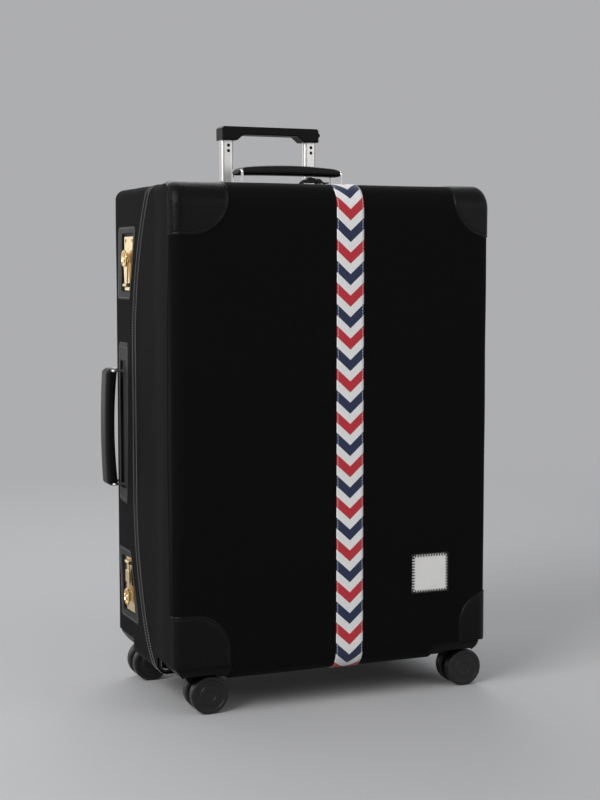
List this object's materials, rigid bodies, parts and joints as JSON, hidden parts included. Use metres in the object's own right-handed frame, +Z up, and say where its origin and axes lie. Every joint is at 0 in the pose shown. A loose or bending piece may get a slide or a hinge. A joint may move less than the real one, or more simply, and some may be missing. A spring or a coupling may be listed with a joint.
{
  "type": "suitcase",
  "caption": "Upright wheeled trolley suitcase in a zipped cloth cover with leather corners, side locks in leather-bound windows, pull-out carry handles and a telescopic handle.",
  "frame": {"origin": "on the floor under the middle of the case's width and depth", "axes": "+Z up, -Y out of the front face, +X towards the hinge side, as seen from the front to the right"},
  "size_m": [0.5477, 0.3112, 0.888],
  "materials": {
    "cover_cloth": "matt fine woven nylon",
    "shell_board": "pressed fibreboard, sealed black",
    "lining_cloth": "plain woven lining",
    "rail_metal": "satin",
    "corner_leather": "pebbled, soft sheen",
    "binding_leather": "smooth, stitched",
    "grip_leather": "smooth, stitched",
    "ribbon_weave": "ribbed woven ribbon",
    "label_cloth": "blank woven label",
    "zip_coil": "coil zip on woven tape",
    "lock_brass": "pale, polished",
    "bail_wire": "nickel plated",
    "tube_alloy": "satin anodised",
    "black_plastic": "fine moulded grain",
    "wheel_rubber": "dull, moulded rings",
    "steel_pin": "drawn"
  },
  "bodies": {
    "base": {"rear_shell": "shell_board", "rear_rail": "rail_metal", "rear_lining": "lining_cloth", "rear_cover": "cover_cloth", "window_frames": "binding_leather", "zip_rear": "zip_coil", "rear_caster_housings": "black_plastic", "top_handle_guides": "black_plastic", "side_handle_guides": "black_plastic", "trolley_outer_tubes": "tube_alloy", "trolley_bezel": "black_plastic", "trolley_housing": "black_plastic", "upper_lock_plate": "lock_brass", "lower_lock_plate": "lock_brass", "lock_screws": "lock_brass", "rear_hinge_leaves": "lock_brass", "hinge_pins": "steel_pin"},
    "lid": {"front_shell": "shell_board", "front_rail": "rail_metal", "front_lining": "lining_cloth", "front_cover": "cover_cloth", "zip_front": "zip_coil", "upper_corner_leathers": "corner_leather", "lower_corner_leathers": "corner_leather", "front_ribbon": "ribbon_weave", "label_patch": "label_cloth", "front_caster_housings": "black_plastic", "front_hinge_leaves": "lock_brass"},
    "top_handle": {"top_handle_grip": "grip_leather", "top_handle_bails": "bail_wire"},
    "side_handle": {"side_handle_grip": "grip_leather", "side_handle_bails": "bail_wire"},
    "trolley_middle": {"trolley_middle_tubes": "tube_alloy"},
    "trolley_inner": {"trolley_inner_tubes": "tube_alloy", "trolley_tube_plugs": "black_plastic", "trolley_grip": "black_plastic"},
    "release_button": {"trolley_button": "black_plastic"},
    "upper_lock": {"upper_hasp": "lock_brass"},
    "lower_lock": {"lower_hasp": "lock_brass"},
    "upper_turn": {"upper_knob": "lock_brass"},
    "lower_turn": {"lower_knob": "lock_brass"},
    "slider": {"zip_slider": "black_plastic"},
    "pull": {"zip_pull": "grip_leather"},
    "front_left_caster": {"front_left_fork": "black_plastic", "front_left_axle": "steel_pin"},
    "front_left_fore_wheel": {"front_left_wheel_fore": "wheel_rubber"},
    "front_left_aft_wheel": {"front_left_wheel_aft": "wheel_rubber"},
    "front_right_caster": {"front_right_fork": "black_plastic", "front_right_axle": "steel_pin"},
    "front_right_fore_wheel": {"front_right_wheel_fore": "wheel_rubber"},
    "front_right_aft_wheel": {"front_right_wheel_aft": "wheel_rubber"},
    "rear_left_caster": {"rear_left_fork": "black_plastic", "rear_left_axle": "steel_pin"},
    "rear_left_fore_wheel": {"rear_left_wheel_fore": "wheel_rubber"},
    "rear_left_aft_wheel": {"rear_left_wheel_aft": "wheel_rubber"},
    "rear_right_caster": {"rear_right_fork": "black_plastic", "rear_right_axle": "steel_pin"},
    "rear_right_fore_wheel": {"rear_right_wheel_fore": "wheel_rubber"},
    "rear_right_aft_wheel": {"rear_right_wheel_aft": "wheel_rubber"}
  },
  "joints": [
    {"name": "lid_hinge", "type": "hinge", "parent": "base", "child": "lid", "pos_m": [0.258, 0.046, 0.423], "axis": [0, 0, 1], "range_deg": [0, 105]},
    {"name": "top_handle_slide", "type": "slide", "parent": "base", "child": "top_handle", "axis": [0, 0, 1], "range_m": [-0.017, 0.002]},
    {"name": "side_handle_slide", "type": "slide", "parent": "base", "child": "side_handle", "axis": [-1, 0, 0], "range_m": [-0.009, 0.012]},
    {"name": "trolley_lower_slide", "type": "slide", "parent": "base", "child": "trolley_middle", "axis": [0, 0, 1], "range_m": [0, 0.105]},
    {"name": "trolley_upper_slide", "type": "slide", "parent": "trolley_middle", "child": "trolley_inner", "axis": [0, 0, 1], "range_m": [-0.078, 0.085]},
    {"name": "release_button_press", "type": "slide", "parent": "trolley_inner", "child": "release_button", "axis": [-1, 0, 0], "range_m": [0, 0.0025], "stiffness_N_per_m": 400, "springref_m": -0.002},
    {"name": "upper_lock_swing", "type": "hinge", "parent": "base", "child": "upper_lock", "pos_m": [-0.2572, 0.077, 0.634], "axis": [0, -1, 0], "range_deg": [0, 100]},
    {"name": "lower_lock_swing", "type": "hinge", "parent": "base", "child": "lower_lock", "pos_m": [-0.2572, 0.0795, 0.197], "axis": [0, 1, 0], "range_deg": [0, 100]},
    {"name": "upper_knob_turn", "type": "hinge", "parent": "upper_lock", "child": "upper_turn", "pos_m": [-0.2572, 0.077, 0.6755], "axis": [-1, 0, 0], "range_deg": [0, 90]},
    {"name": "lower_knob_turn", "type": "hinge", "parent": "lower_lock", "child": "lower_turn", "pos_m": [-0.2572, 0.0795, 0.142], "axis": [-1, 0, 0], "range_deg": [0, 90]},
    {"name": "zip_slide", "type": "slide", "parent": "base", "child": "slider", "axis": [1, 0, 0], "range_m": [-0.16, 0.155]},
    {"name": "zip_pull_swing", "type": "hinge", "parent": "slider", "child": "pull", "pos_m": [0.0325, -0.03842, 0.7908], "axis": [0, 1, 0], "range_deg": [0, 140]},
    {"name": "front_left_swivel", "type": "hinge", "parent": "lid", "child": "front_left_caster", "pos_m": [-0.213, -0.109, 0.06], "axis": [0, 0, 1], "continuous": true},
    {"name": "front_left_fore_roll", "type": "hinge", "parent": "front_left_caster", "child": "front_left_fore_wheel", "pos_m": [-0.194, -0.124, 0.029], "axis": [0, 1, 0], "continuous": true},
    {"name": "front_left_aft_roll", "type": "hinge", "parent": "front_left_caster", "child": "front_left_aft_wheel", "pos_m": [-0.194, -0.094, 0.029], "axis": [0, 1, 0], "continuous": true},
    {"name": "front_right_swivel", "type": "hinge", "parent": "lid", "child": "front_right_caster", "pos_m": [0.213, -0.109, 0.06], "axis": [0, 0, 1], "continuous": true},
    {"name": "front_right_fore_roll", "type": "hinge", "parent": "front_right_caster", "child": "front_right_fore_wheel", "pos_m": [0.232, -0.124, 0.029], "axis": [0, 1, 0], "continuous": true},
    {"name": "front_right_aft_roll", "type": "hinge", "parent": "front_right_caster", "child": "front_right_aft_wheel", "pos_m": [0.232, -0.094, 0.029], "axis": [0, 1, 0], "continuous": true},
    {"name": "rear_left_swivel", "type": "hinge", "parent": "base", "child": "rear_left_caster", "pos_m": [-0.198, 0.109, 0.06], "axis": [0, 0, 1], "continuous": true},
    {"name": "rear_left_fore_roll", "type": "hinge", "parent": "rear_left_caster", "child": "rear_left_fore_wheel", "pos_m": [-0.217, 0.094, 0.029], "axis": [0, 1, 0], "continuous": true},
    {"name": "rear_left_aft_roll", "type": "hinge", "parent": "rear_left_caster", "child": "rear_left_aft_wheel", "pos_m": [-0.217, 0.124, 0.029], "axis": [0, 1, 0], "continuous": true},
    {"name": "rear_right_swivel", "type": "hinge", "parent": "base", "child": "rear_right_caster", "pos_m": [0.198, 0.109, 0.06], "axis": [0, 0, 1], "continuous": true},
    {"name": "rear_right_fore_roll", "type": "hinge", "parent": "rear_right_caster", "child": "rear_right_fore_wheel", "pos_m": [0.179, 0.094, 0.029], "axis": [0, 1, 0], "continuous": true},
    {"name": "rear_right_aft_roll", "type": "hinge", "parent": "rear_right_caster", "child": "rear_right_aft_wheel", "pos_m": [0.179, 0.124, 0.029], "axis": [0, 1, 0], "continuous": true}
  ]
}
